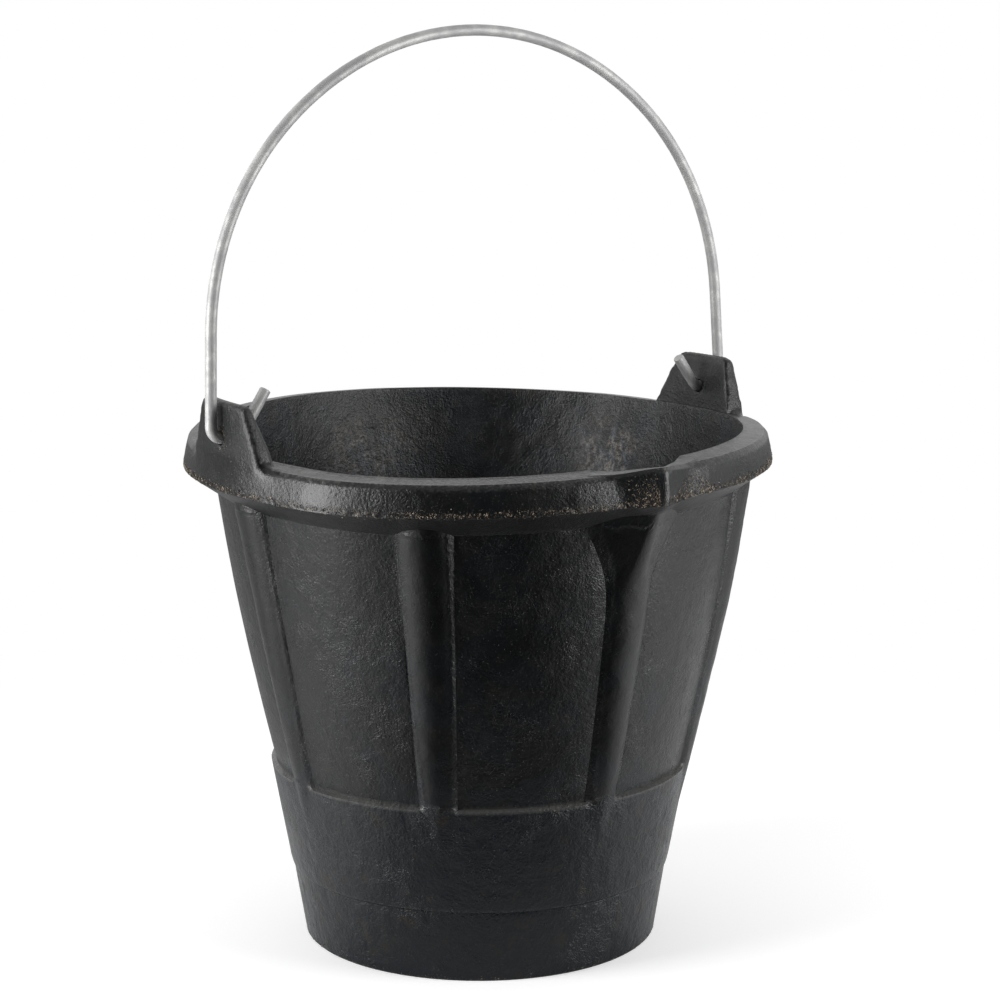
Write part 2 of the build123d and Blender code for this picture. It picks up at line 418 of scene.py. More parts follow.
def relaxed(points, edges, rounds, weight=1.0):
    """Points drawn towards the mean of their neighbours."""
    size = len(points)
    count = np.maximum(np.bincount(edges.ravel(), minlength=size), 1)[:, None]
    share = np.broadcast_to(np.asarray(weight, dtype=float).reshape(-1, 1), (size, 1)) * 0.5
    moved = points.copy()
    for _ in range(rounds):
        sums = np.empty_like(moved)
        for axis in range(3):
            ahead = np.bincount(edges[:, 0], moved[edges[:, 1], axis], size)
            behind = np.bincount(edges[:, 1], moved[edges[:, 0], axis], size)
            sums[:, axis] = ahead + behind
        moved += (sums / count - moved) * share
    return moved


def shade_smooth(mesh):
    """Smooth shading on every face."""
    mesh.polygons.foreach_set("use_smooth", np.ones(len(mesh.polygons), dtype=bool))
    mesh.update()


def store(mesh, name, values):
    """Keeps one number per vertex for the material."""
    layer = mesh.attributes.new(name, "FLOAT", "POINT")
    layer.data.foreach_set("value", values.astype(np.float32))


# Places on the moulding


def radius_of(points):
    """Distance from the axis."""
    return np.hypot(points[:, 0], points[:, 1])


def azimuth_of(points):
    """Degrees round the axis, from +X."""
    return np.degrees(np.arctan2(points[:, 1], points[:, 0]))


def from_spout(points):
    """Degrees round the axis from the spout, from -180 to 180."""
    return (azimuth_of(points) - SPOUT_AZIMUTH + 180) % 360 - 180


def from_pivot(points):
    """Distance from the line through both ear holes."""
    return np.hypot(points[:, 1], points[:, 2] - PIVOT_LEVEL)


def proud_of_panels(points):
    """How far points stand out from the cone of the panels."""
    return radius_of(points) - (PANEL_RADIUS + WALL_SLOPE * (points[:, 2] - BEVEL_FOOT))


def inside_share(points):
    """1 on the inner wall and floor, 0 outside."""
    from_middle = proud_of_panels(points) + WALL_THICKNESS / 2
    return smooth_step(0.4 * MM, -0.4 * MM, from_middle) * (points[:, 2] > 4 * MM)


def foot_share(points):
    """1 below the ledge, outside and inside."""
    return smooth_step(LEDGE_LEVEL + 1.5 * MM, LEDGE_LEVEL, points[:, 2])


def on_ears(points, clear):
    """Where the ears are, but for a ring of a radius round their holes."""
    return (points[:, 2] > MOUTH_LEVEL + 1.5 * MM) & (from_pivot(points) > clear)


# Node helpers


def opaque(colour):
    """A colour setting with full opacity; a socket stays as it is."""
    return colour if isinstance(colour, bpy.types.NodeSocket) else (*colour, 1.0)


class Board:
    """Adds nodes to one material or world and joins them."""

    def __init__(self, holder):
        self.holder = holder
        holder.use_nodes = True
        self.tree = holder.node_tree
        self.shader = self.tree.nodes.get("Principled BSDF")
        coordinates = self.add("ShaderNodeTexCoord").outputs
        self.place = coordinates["Object"]
        self.direction = coordinates["Generated"]

    def add(self, kind, inputs=None, **settings):
        """A node with some of its settings and inputs changed."""
        node = self.tree.nodes.new(kind)
        for key, value in settings.items():
            setattr(node, key, value)
        for key, value in (inputs or {}).items():
            self.feed(node.inputs[key], value)
        return node

    def feed(self, socket, value):
        """Joins a socket to another, or sets its value."""
        if isinstance(value, bpy.types.NodeSocket):
            self.tree.links.new(value, socket)
        else:
            socket.default_value = value

    def math(self, operation, first, second=0.0, clamp=False):
        """One step of arithmetic."""
        inputs = {0: first, 1: second}
        return self.add("ShaderNodeMath", inputs, operation=operation, use_clamp=clamp).outputs[0]

    def times(self, first, second):
        """The product of two values."""
        return self.math("MULTIPLY", first, second)

    def noise(self, size, detail=2.0, roughness=0.5, warp=0.0, place=None):
        """Noise whose blobs are about this size in metres."""
        inputs = {"Vector": place or self.place, "Scale": 1 / size, "Detail": detail, "Roughness": roughness,
                  "Distortion": warp}
        return self.add("ShaderNodeTexNoise", inputs).outputs["Fac"]

    def cells(self, size):
        """A cell pattern of this size in metres."""
        return self.add("ShaderNodeTexVoronoi", {"Vector": self.place, "Scale": 1 / size})

    def span(self, value, low, high, start=0.0, end=1.0):
        """Eased and clamped remapping."""
        inputs = {"Value": value, "From Min": low, "From Max": high, "To Min": start, "To Max": end}
        return self.add("ShaderNodeMapRange", inputs, interpolation_type="SMOOTHSTEP").outputs["Result"]

    def blend(self, share, first, second):
        """Mixes two colours."""
        inputs = {"Factor": share, 6: opaque(first), 7: opaque(second)}
        return self.add("ShaderNodeMix", inputs, data_type="RGBA").outputs[2]

    def stored(self, name):
        """A number kept on the mesh."""
        return self.add("ShaderNodeAttribute", attribute_name=name).outputs["Fac"]

    def shade(self, colour, roughness, height=None):
        """Gives the shader its colour, its roughness and a relief in metres, and hands over the material."""
        self.feed(self.shader.inputs["Base Color"], colour)
        self.feed(self.shader.inputs["Roughness"], roughness)
        if height is not None:
            bump = self.add("ShaderNodeBump", {"Strength": 1.0, "Distance": 1.0, "Height": height})
            self.feed(self.shader.inputs["Normal"], bump.outputs["Normal"])
        return self.holder


def material_board(name):
    """A board for a new material."""
    return Board(bpy.data.materials.new(name))


def total(board, heights):
    """The sum of several sockets."""
    result = heights[0]
    for height in heights[1:]:
        result = board.math("ADD", result, height)
    return result


def squeezed(board, place, height):
    """Places squeezed in height, so that a pattern is drawn out along it."""
    inputs = {0: place, 1: (1.0, 1.0, height)}
    return board.add("ShaderNodeVectorMath", inputs, operation="MULTIPLY").outputs["Vector"]


def fibre_streaks(board, patch, width, length):
    """Short streaks that lie one way within each patch and another way in the next."""
    cell = board.cells(patch).outputs
    spin = board.add("ShaderNodeVectorMath", {0: cell["Color"], "Scale": 2 * math.pi}, operation="SCALE")
    inputs = {"Vector": board.place, "Center": cell["Position"], "Rotation": spin.outputs["Vector"]}
    turn = board.add("ShaderNodeVectorRotate", inputs, rotation_type="EULER_XYZ")
    stretched = squeezed(board, turn.outputs["Vector"], width / length)
    return board.noise(width, detail=1.0, warp=0.6, place=stretched)


# Materials


def speck_mask(board):
    """Where pale specks lie: small dots in some of many cells."""
    fleck = board.cells(0.0012)
    chosen = board.span(fleck.outputs["Color"], 0.55, 0.95, 0.0, 0.75)
    dot = board.span(fleck.outputs["Distance"], 0.26, 0.10)
    return board.times(board.times(chosen, dot), board.stored("flecked"))


def bloomed_colour(board, rubber, cloudy):
    """Black rubber, bluer on the foot, with cool and warm bloom where it is stained."""
    stained = board.stored("stained")
    patchy = board.noise(0.034, detail=3.0, roughness=0.6)
    colour = board.blend(board.stored("low"), rubber.colour, rubber.foot)
    cool = board.times(board.span(patchy, 0.42, 0.66), stained)
    colour = board.blend(cool, colour, rubber.cool)
    warm = board.times(board.span(cloudy, 0.52, 0.72), stained)
    return board.blend(warm, colour, rubber.warm)


def rubbed_colour(board, rubber, colour, cloudy):
    """The colour with blue-grey haze and tan scuffs where the inside is rubbed."""
    drawn_down = squeezed(board, board.place, 1 / 9.0)
    runs = board.noise(0.006, detail=3.0, roughness=0.6, place=drawn_down)
    fretted = board.span(board.noise(0.0026, detail=4.0, roughness=0.8), 0.42, 0.66)
    rubbed = board.times(board.stored("deep"), fretted)
    hazed = board.times(rubbed, board.span(runs, 0.44, 0.60))
    colour = board.blend(hazed, colour, rubber.haze)
    scuffed = board.times(rubbed, board.span(cloudy, 0.44, 0.58))
    return board.blend(scuffed, colour, rubber.scuff)


def lit_and_specked_colour(board, rubber, colour, mottle, speck):
    """The colour with a painted highlight on the ledge and painted light on the rim's top where they face
    up, pale specks and worn edges.
    """
    # Painted light from above on the rim's up-facing top, and below it a painted highlight on the ledge's
    # top
    painted_top_light = board.times(board.stored("painted_top_light"), board.span(mottle, 0.42, 0.66))
    worn = board.times(board.span(board.stored("edge"), 0.25, 0.7), board.span(mottle, 0.40, 0.62))
    shares = (
        board.times(board.stored("ledge"), LEDGE_PAINTED_HIGHLIGHT),
        board.times(painted_top_light, TOP_PAINTED_LIGHT),
        speck,
        board.times(worn, EDGE_WEAR),
    )
    for share in shares:
        colour = board.blend(share, colour, rubber.speck)
    return colour


def skin_roughness(board, rubber, cloudy, speck):
    """Roughness in clouds about its mean, more where the skin is dull and on specks."""
    rough = board.math("ADD", rubber.roughness - ROUGH_SPREAD / 2, board.times(cloudy, ROUGH_SPREAD))
    rough = board.math("ADD", rough, board.times(board.stored("dull"), DULL_ROUGHER))
    return board.math("ADD", rough, board.times(speck, SPECK_ROUGHER), clamp=True)


def skin_height(board, mottle, speck):
    """Height of the streaks, mottling, crackle, specks and slow waves of the skin."""
    grain = board.stored("grain")
    streaks = fibre_streaks(board, 0.0065, 0.0008, 0.0036)
    streak_area = board.span(board.noise(0.030, detail=2.0), 0.44, 0.62, 0.20, 1.0)
    crackle = board.noise(0.0011, detail=3.0, roughness=0.7)
    waves = board.times(board.noise(0.0075, detail=2.0), WAVE_HEIGHT)
    heights = (
        board.times(board.times(streaks, streak_area), STREAK_HEIGHT),
        board.times(mottle, MOTTLE_HEIGHT),
        board.times(board.times(crackle, board.stored("inside")), CRACKLE_HEIGHT),
        board.times(speck, SPECK_HEIGHT),
        board.times(waves, grain),
    )
    return board.times(total(board, heights), grain)


def rubber_material(rubber):
    """Near-black satin rubber with bloom, specks, fibre streaks and worn edges."""
    board = material_board("black_recycled_rubber")
    cloudy = board.noise(0.013, detail=4.0, roughness=0.62, warp=0.4)
    mottle = board.noise(0.0017, detail=2.0, roughness=0.6)
    speck = speck_mask(board)
    colour = bloomed_colour(board, rubber, cloudy)
    colour = rubbed_colour(board, rubber, colour, cloudy)
    colour = lit_and_specked_colour(board, rubber, colour, mottle, speck)
    rough = skin_roughness(board, rubber, cloudy, speck)
    return board.shade(colour, rough, skin_height(board, mottle, speck))


def crumb_material(crumb):
    """Ground rubber and fibre: dark, tan and pale crumbs side by side."""
    board = material_board("flash_crumb")
    pick = board.cells(0.0011).outputs["Color"]
    grain = board.noise(0.0004, detail=2.0)
    colour = board.blend(board.span(pick, 0.56, 0.66), crumb.dark, crumb.tan)
    colour = board.blend(board.span(pick, 0.74, 0.82), colour, crumb.pale)
    colour = board.blend(board.span(grain, 0.55, 0.75, 0.0, 0.5), colour, crumb.dark)
    rough = board.span(grain, 0.3, 0.7, 0.55, 0.85)
    return board.shade(colour, rough, board.times(grain, CRUMB_HEIGHT))


def fibre_material(fibre):
    """Dusty fibre, partly black with rubber."""
    board = material_board("pressed_fibre")
    shade = board.noise(0.006, detail=2.0)
    coated = [part * 0.3 for part in fibre.colour]
    colour = board.blend(board.span(shade, 0.40, 0.62), coated, fibre.colour)
    return board.shade(colour, board.span(shade, 0.3, 0.7, 0.50, 0.40))


def zinc_material(wire):
    """Dull hot-dipped zinc with pale spangle and darker rubbed spots."""
    board = material_board("galvanised_zinc")
    spangle = board.cells(0.0055).outputs["Color"]
    cloudy = board.noise(0.011, detail=4.0, roughness=0.6)
    grain = board.noise(0.0012, detail=2.0)
    colour = board.blend(board.span(cloudy, 0.38, 0.66), wire.zinc, wire.bright)
    colour = board.blend(board.times(spangle, 0.22), colour, wire.zinc)
    dull = [part * 0.55 for part in wire.zinc]
    colour = board.blend(board.span(grain, 0.62, 0.78, 0.0, 0.5), colour, dull)
    board.shader.inputs["Metallic"].default_value = ZINC_METALLIC
    height = board.math("ADD", board.times(grain, ZINC_GRAIN_HEIGHT), board.times(cloudy, ZINC_CLOUD_HEIGHT))
    return board.shade(colour, board.span(cloudy, 0.3, 0.7, 0.54, 0.42), height)


# Pieces


def rim_drop(azimuths):
    """How far the settled rim lies below its moulded level at azimuths in degrees."""
    saddle = np.cos(2 * np.radians(azimuths - OVAL_AXIS))
    return SADDLE_FALL * saddle + RIM_TILT * np.cos(np.radians(azimuths))


def settled(points):
    """The moulding with its mouth a little oval and saddled and the spout's lip a little raised."""
    azimuths = azimuth_of(points)
    radius = radius_of(points)
    height = points[:, 2]
    high = smooth_step(*SETTLE_LEVELS, height)
    from_ear = np.abs((azimuths + 90) % 180 - 90)
    oval = np.cos(2 * np.radians(azimuths - OVAL_AXIS)) * smooth_step(*OVAL_FADE, from_ear)
    at_holes = smooth_step(*HOLE_LEVELS, height) * (1 - smooth_step(*EAR_TOP_LEVELS, height))
    drop = rim_drop(azimuths) * high * (1 - at_holes)
    lip = near(from_spout(points), 0, LIP_WIDTH) * smooth_step(*LIP_LEVELS, height)
    lip = lip * smooth_step(*LIP_REACH, radius)
    scale = 1 + OVAL_SPREAD * oval * high / np.maximum(radius, 1 * MM)
    moved = points * np.stack((scale, scale, np.ones_like(scale)), 1)
    moved[:, 2] += LIP_RISE * lip - drop
    return moved


def ear_root(points):
    """1 where the sides of the ears run out on the rim's outer face."""
    height = points[:, 2]
    aside = near(np.abs(points[:, 1]), EAR_ROOT_ASIDE, EAR_ROOT_WIDTH)
    level = smooth_step(*EAR_ROOT_FOOT, height) * (1 - smooth_step(*EAR_ROOT_TOP, height))
    return aside * level * (np.abs(points[:, 0]) > EAR_ROOT_REACH)


def fleck_share(points):
    """How many pale specks show: most on the panels, few on the ribs and the foot."""
    height = points[:, 2]
    on_rib = smooth_step(1.8 * MM, 3.0 * MM, proud_of_panels(points)) * (height < BEVEL_FOOT)
    low = smooth_step(LEDGE_LEVEL + 2 * MM, LEDGE_LEVEL - 1 * MM, height)
    return 1 - 0.8 * np.maximum(on_rib, low)


def skin_grain(points):
    """How coarse the skin is: 1 on the panels and inside, more on the foot, less on ribs, rim and ears."""
    height = points[:, 2]
    outside = 1 - inside_share(points)
    on_panels = (height < BEVEL_FOOT) & (height > LEDGE_LEVEL + 3 * MM)
    on_rib = smooth_step(2.2 * MM, 3.6 * MM, proud_of_panels(points)) * on_panels
    on_rim = smooth_step(BEVEL_FOOT, BEVEL_FOOT + 3 * MM, height) * outside
    coarser = FOOT_COARSER * foot_share(points) * outside
    return 1 + coarser - np.maximum(RIB_SMOOTHER * on_rib, RIM_SMOOTHER * on_rim)


def lit_top_share(points, normals):
    """1 on the flat top of the rim where it faces up, which gets painted light from above."""
    level = smooth_step(MOUTH_LEVEL - 4 * MM, MOUTH_LEVEL - 2 * MM, points[:, 2])
    return level * smooth_step(0.75, 0.95, normals[:, 2])


def dull_share(points):
    """How much duller the skin is: 1 on the ears, half inside, a little on the rim."""
    on_ear = smooth_step(MOUTH_LEVEL, MOUTH_LEVEL + 3 * MM, points[:, 2])
    on_rim = smooth_step(BEVEL_FOOT, BEVEL_FOOT + 3 * MM, points[:, 2])
    return np.maximum.reduce((on_ear, INSIDE_DULL * inside_share(points), RIM_DULL * on_rim))


def deep_share(points):
    """Where the inside is rubbed: in two patches below the mouth, away from the spout."""
    azimuth = azimuth_of(points)
    patches = [share * near(azimuth, middle, width) for middle, width, share in RUBBED_PATCHES]
    level = smooth_step(*RUBBED_TOP, points[:, 2]) * smooth_step(*RUBBED_FOOT, points[:, 2])
    return inside_share(points) * level * np.maximum.reduce(patches)


def stain_share(points):
    """How far the skin is stained: fully on the foot and inside, less and less up the panels."""
    panels = 0.25 + 0.45 * smooth_step(240 * MM, 110 * MM, points[:, 2])
    return np.maximum.reduce((panels, foot_share(points), inside_share(points)))


def ledge_highlight_share(points, normals):
    """1 on the narrow ledge above the foot, where it faces up and gets a painted highlight."""
    on_ledge = near(points[:, 2], LEDGE_LEVEL + 0.6 * MM, 1.6 * MM) * (1 - inside_share(points))
    return on_ledge * smooth_step(0.2, 0.5, normals[:, 2])


def wall_relief(points, rubber):
    """How far the skin stands proud of the plain moulding, in metres."""
    inside = inside_share(points)
    height = points[:, 2]
    relief = rubber.waviness * two_noises(points, 0.060, 0.027, seed=1)
    warp = points + 3 * MM * np.stack([lattice_noise(points, 0.012, seed) for seed in (3, 4, 5)], 1)
    ridged = 1 - 2 * np.abs(lattice_noise(warp, 0.0062, seed=6))
    strength = smooth_step(-0.2, 0.5, lattice_noise(points, 0.045, seed=7)) + 0.6 * inside
    on_rim = smooth_step(BEVEL_FOOT - 1 * MM, BEVEL_FOOT + 1 * MM, height) * (1 - inside)
    relief += rubber.crease * ridged * strength * (1 - 0.9 * on_rim)
    flash = near(height, FLASH_MIDDLE, 2.2 * MM) * (1 - inside)
    relief += flash * FLASH_ROUGHNESS * lattice_noise(points, 0.0026, seed=8)
    relief += near(height, 0, 3 * MM) * FOOT_ROUGHNESS * lattice_noise(points, 0.0040, seed=9)
    return relief


def keep_mating_faces(points):
    """0 where the relief would close the pivot holes or lift the base, 1 elsewhere."""
    clear = smooth_step(5 * MM, 9 * MM, from_pivot(points))
    return clear * smooth_step(0.2 * MM, 1.5 * MM, points[:, 2])


def cell_limit(rubber):
    """The longest edge allowed where an edge lies: finer along the flash and the foot."""
    def longest(edge):
        height = edge.verts[0].co.z
        fine = height < 4 * MM or FLASH_BOTTOM - 2 * MM < height < FLASH_TOP + 2 * MM
        return rubber.fine_cell if fine else rubber.cell
    return longest


def small_form(points):
    """Where the ribs, the spout and the ears are, which are rounded more tightly than wall and rim."""
    height = points[:, 2]
    on_rib = (proud_of_panels(points) > 1.8 * MM) & (height < BEVEL_FOOT)
    on_ear = height > MOUTH_LEVEL + 0.5 * MM
    by_spout = np.abs(from_spout(points)) < SPOUT_WIDTH
    on_spout = by_spout & (radius_of(points) > SPOUT_REACH) & (height > SPOUT_LEVEL)
    return on_rib | on_ear | on_spout


def funnel_line(points):
    """Where the spout's funnel meets the panels beside it."""
    height = points[:, 2]
    by_spout = np.abs(from_spout(points)) < FUNNEL_WIDTH
    return by_spout & (height > FUNNEL_LEVEL) & (height < BEVEL_FOOT - 3 * MM)


def rounded_facets(points, edges, sharp):
    """The solid's flat facets smoothed into round walls between sharp edges, which are smoothed along."""
    lines = edges[sharp]
    meeting = np.bincount(lines.ravel(), minlength=len(points))
    free = (meeting == 0) | on_ears(points, 6 * MM)
    points = relaxed(points, lines, 12, meeting == 2)
    beside_funnel = funnel_line(points)
    tight = np.where(beside_funnel, FUNNEL_WEIGHT, SMALL_FORM_WEIGHT)
    weight = np.where(small_form(points), tight, 1.0) * free
    for _ in range(8):
        points = relaxed(points, lines, 5, beside_funnel & (meeting == 2))
        points = relaxed(points, edges, 3, weight)
    return points


def mark_edges(mesh, points, edges):
    """Leaves sharp only what the moulding has sharp: not the ears, their roots or the outside of the rim."""
    middle = points[edges].mean(axis=1)
    on_edge = np.abs(middle[:, 2] - RIM_EDGE_LEVEL) < 1.0 * MM
    on_face = on_edge & (radius_of(middle) > RIM_EDGE_REACH)
    soft = on_ears(middle, 5.5 * MM) | on_face | (ear_root(middle) > 0.2)
    mesh.edges.foreach_set("use_edge_sharp", sharp_edges_of(mesh) & ~soft)


def edge_measure(points, edges, normals):
    """Above 0 on outer edges, below 0 in inner corners."""
    rounded = relaxed(points, edges, 4)
    lift = np.einsum("ij,ij->i", points - rounded, normals)
    return np.clip(lift / (0.5 * MM), -1, 1)


def store_shares(mesh, points, edges, normals):
    """Keeps on the mesh what the material asks for."""
    shares = {
        "edge": edge_measure(points, edges, normals),
        "grain": skin_grain(points),
        "inside": inside_share(points),
        "low": foot_share(points),
        "flecked": fleck_share(points),
        "deep": deep_share(points),
        # Where light from above is painted on the rim's top and on the ledge
        "painted_top_light": lit_top_share(points, normals),
        "ledge": ledge_highlight_share(points, normals),
        "stained": stain_share(points),
        "dull": dull_share(points),
    }
    for name, values in shares.items():
        store(mesh, name, values)


def mould_bucket(rubber):
    """The moulding with its uneven, creased skin."""
    obj = refined_copy("rubber_bucket", "moulded_bucket", cell_limit(rubber))
    mesh = obj.data
    edges = edges_of(mesh)
    points = rounded_facets(points_of(mesh), edges, sharp_edges_of(mesh))
    points = relaxed(points, edges, 14, ear_root(points))
    set_points(mesh, points)
    mark_edges(mesh, points, edges)
    normals = normals_of(mesh)
    store_shares(mesh, points, edges, normals)
    on_line = np.bincount(edges[sharp_edges_of(mesh)].ravel(), minlength=len(points)) > 0
    lift = wall_relief(points, rubber) * keep_mating_faces(points) * np.where(on_line, SHARP_RELIEF, 1.0)
    points = settled(points + normals * lift[:, None])
    points[:, 2] = np.maximum(points[:, 2], 0)
    set_points(mesh, points)
    shade_smooth(mesh)
    mesh.materials.append(rubber_material(rubber))
    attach(obj, "bucket")
    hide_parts("rubber_bucket")
    return obj


def surface_of(obj):
    """A search tree of an object's faces."""
    return BVHTree.FromObject(obj, bpy.context.evaluated_depsgraph_get())


def wall_hits(tree, azimuths, heights, outside=True):
    """Where level rays from outside or from the axis meet the wall: places and normals."""
    places = []
    for turn, height in zip(np.radians(azimuths), heights):
        out = Vector((math.cos(turn), math.sin(turn), 0))
        level = Vector((0, 0, height))
        ray = (out * OUTSIDE_REACH + level, -out) if outside else (level, out)
        place, normal, _, _ = tree.ray_cast(*ray)
        if place is not None:
            places.append((place, normal))
    return places


def flash_places(tree, draw, count):
    """Places round the flash band, most of them near its middle."""
    azimuths = draw.uniform(-180, 180, count)
    heights = draw.normal(FLASH_MIDDLE + 0.3 * MM, 1.2 * MM, count)
    return wall_hits(tree, azimuths, heights - rim_drop(azimuths))


def spout_places(tree, draw, count):
    """Places beside the spout's nose and, on its other flank, in a wide arched patch on the rim's face."""
    half = count // 2
    turn = -1.2 - np.abs(draw.normal(0, 2.6, half))
    rise = np.abs(draw.normal(0, 6.5 * MM, half))
    share = draw.uniform(0, 1, half)
    turn = np.concatenate([turn, 3.0 + 11.5 * share])
    arch = 2.5 * MM + 9.5 * MM * np.sin(math.pi * share) ** 0.7
    rise = np.concatenate([rise, arch * draw.uniform(0, 1, half)])
    heights = np.minimum(FLASH_BOTTOM + rise, MOUTH_LEVEL - 4 * MM)
    azimuths = SPOUT_AZIMUTH + turn
    return wall_hits(tree, azimuths, heights - rim_drop(azimuths))


def foot_places(tree, draw, count):
    """Places round the lower edge of the base."""
    heights = 0.5 * MM + np.abs(draw.normal(0, 1.1 * MM, count))
    return wall_hits(tree, draw.uniform(-180, 180, count), heights)


def ledge_places(tree, draw, count):
    """Places along the ledge at the foot of the panels."""
    heights = draw.normal(LEDGE_LEVEL, 0.5 * MM, count)
    return wall_hits(tree, draw.uniform(-180, 180, count), heights)


def mouth_places(tree, draw, count):
    """Places along the inner edge of the mouth."""
    heights = MOUTH_LEVEL - np.abs(draw.normal(0, 1.2 * MM, count)) - 0.4 * MM
    azimuths = draw.uniform(-180, 180, count)
    return wall_hits(tree, azimuths, heights - rim_drop(azimuths), outside=False)


def ear_places(tree, draw, count):
    """Places round the holes on the outer face of both ears."""
    places = []
    for side in (-1, 1):
        turns = draw.uniform(0, 2 * math.pi, count)
        reach = 4.4 * MM + np.abs(draw.normal(0, 1.5 * MM, count))
        for turn, far in zip(turns, reach):
            start = Vector((side * OUTSIDE_REACH, far * math.cos(turn), PIVOT_LEVEL + far * math.sin(turn)))
            place, normal, _, _ = tree.ray_cast(start, Vector((-side, 0, 0)))
            if place is not None and abs(place.x) > EAR_FACE - 2 * MM:
                places.append((place, normal))
    return places


# For how many crumbs on the flash one lies elsewhere
CRUMB_SHARES = {spout_places: 7, foot_places: 14, ledge_places: 90, mouth_places: 30, ear_places: 80}


def random_turns(draw, count):
    """Rotation matrices in no order."""
    quaternion = draw.normal(size=(count, 4))
    w, x, y, z = (quaternion / np.linalg.norm(quaternion, axis=1, keepdims=True)).T
    rows = (
        (1 - 2 * (y * y + z * z), 2 * (x * y - w * z), 2 * (x * z + w * y)),
        (2 * (x * y + w * z), 1 - 2 * (x * x + z * z), 2 * (y * z - w * x)),
        (2 * (x * z - w * y), 2 * (y * z + w * x), 1 - 2 * (x * x + y * y)),
    )
    return np.array(rows).transpose(2, 0, 1)


def crumb_shapes(places, draw, size):
    """Corners and faces of irregular eight-sided crumbs, seated in the skin."""
    count = len(places)
    sides = len(CRUMB_CORNERS)
    seat = np.array([place - normal * size * CRUMB_SEAT for place, normal in places])
    scale = size * draw.lognormal(0, CRUMB_SPREAD, (count, 1, 1))
    scale = scale * draw.uniform(*CRUMB_UNEVEN, (count, sides, 1))
    corners = CRUMB_CORNERS[None] * scale * draw.uniform(*CRUMB_UNEVEN, (count, 1, 3))
    corners = np.einsum("nij,nkj->nki", random_turns(draw, count), corners) + seat[:, None]
    corners[..., 2] = np.maximum(corners[..., 2], 0)
    faces = CRUMB_FACES[None] + np.arange(count)[:, None, None] * sides
    return corners.reshape(-1, 3), faces.reshape(-1, 3)


def scatter_crumbs(bucket, crumb):
    """Crumbs on the flash, spout, foot, ledge, mouth and ears."""
    draw = np.random.default_rng(11)
    tree = surface_of(bucket)
    places = flash_places(tree, draw, crumb.count)
    for more_places, share in CRUMB_SHARES.items():
        places += more_places(tree, draw, crumb.count // share)
    obj = new_piece("flash_crumbs", *crumb_shapes(places, draw, crumb.size), crumb_material(crumb))
    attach(obj, "bucket")


def fibre_path(tree, draw, place, normal, length):
    """Points of one curved fibre that follows the skin."""
    way = Vector(draw.normal(size=3)).cross(normal).normalized()
    bend = draw.normal(0, FIBRE_BEND)
    points = []
    for _ in range(FIBRE_STEPS):
        points.append((place, normal, way))
        place, normal, _, _ = tree.find_nearest(place + way * (length / FIBRE_STEPS))
        way = (way - normal * way.dot(normal)).normalized()
        way = (way + normal.cross(way) * (bend + draw.normal(0, FIBRE_WANDER))).normalized()
    return points


def fibre_rings(path, radius):
    """Three-cornered rings along a fibre, thin at both ends."""
    rings = []
    for index, (place, normal, way) in enumerate(path):
        thick = radius * math.sin(math.pi * (index + 0.6) / (len(path) + 0.2))
        side = normal.cross(way)
        rings.append(place + side * thick - normal * thick * FIBRE_SUNK)
        rings.append(place + normal * thick)
        rings.append(place - side * thick - normal * thick * FIBRE_SUNK)
    return rings


def fibre_faces(first, rings):
    """Faces of one fibre, closed at both ends."""
    faces = []
    for ring in range(rings - 1):
        start = first + ring * 3
        for corner in range(3):
            after = (corner + 1) % 3
            faces.append((start + corner, start + after, start + after + 3, start + corner + 3))
    last = first + (rings - 1) * 3
    faces.append((first + 2, first + 1, first))
    faces.append((last, last + 1, last + 2))
    return faces


def fibre_starts(tree, draw, count):
    """Places outside and inside where fibres lie, thickest in patches."""
    heights = draw.uniform(0.01, MOUTH_LEVEL - 2 * MM, count * 3)
    azimuths = draw.uniform(-180, 180, count * 3)
    hits = wall_hits(tree, azimuths[:count], heights[:count], outside=False)
    hits += wall_hits(tree, azimuths[count:], heights[count:])
    spots = np.array([place for place, _ in hits])
    patch = smooth_step(-0.35, 0.55, lattice_noise(spots, 0.040, seed=21))
    kept = draw.uniform(0, 1, len(hits)) < patch * 0.85 + 0.06
    chosen = [hit for hit, keep in zip(hits, kept) if keep]
    draw.shuffle(chosen)
    return chosen[:count]


def lay_fibres(bucket, fibre):
    """Fibres pressed into the skin, as one mesh."""
    draw = np.random.default_rng(23)
    tree = surface_of(bucket)
    corners = []
    faces = []
    for place, normal in fibre_starts(tree, draw, fibre.count):
        path = fibre_path(tree, draw, place, normal, fibre.length * draw.lognormal(-0.1, 0.45))
        rings = fibre_rings(path, fibre.radius * draw.uniform(0.55, 1.1))
        faces += fibre_faces(len(corners), len(path))
        corners += rings
    obj = new_piece("pressed_fibres", corners, faces, fibre_material(fibre))
    shade_smooth(obj.data)
    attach(obj, "bucket")


def finish_bail(wire):
    """The bail with its lumpy zinc coat."""
    obj = remeshed_copy("wire_bail", "galvanised_bail", wire.cell)
    mesh = obj.data
    edges = edges_of(mesh)
    set_points(mesh, relaxed(points_of(mesh), edges, 4))
    wrap_onto(obj, "wire_bail")
    mesh = obj.data
    points = relaxed(points_of(mesh), edges, 1)
    set_points(mesh, points)
    lumps = wire.lump * two_noises(points, 0.0055, 0.0024, seed=31)
    set_points(mesh, points + normals_of(mesh) * lumps[:, None])
    shade_smooth(mesh)
    mesh.materials.append(zinc_material(wire))
    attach(obj, "bail")
    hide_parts("wire_bail")


# Stage


def turned_from_camera(angle):
    """Unit vector on the floor, turned from the camera's side by an angle in degrees."""
    turn = math.radians(angle - CAMERA_HEADING)
    return Vector((math.sin(turn), -math.cos(turn), 0))


def floor_reach(board, angle):
    """How far along the floor a place lies, in a direction turned from the camera's by degrees."""
    inputs = {0: board.place, 1: turned_from_camera(angle)}
    return board.add("ShaderNodeVectorMath", inputs, operation="DOT_PRODUCT").outputs["Value"]


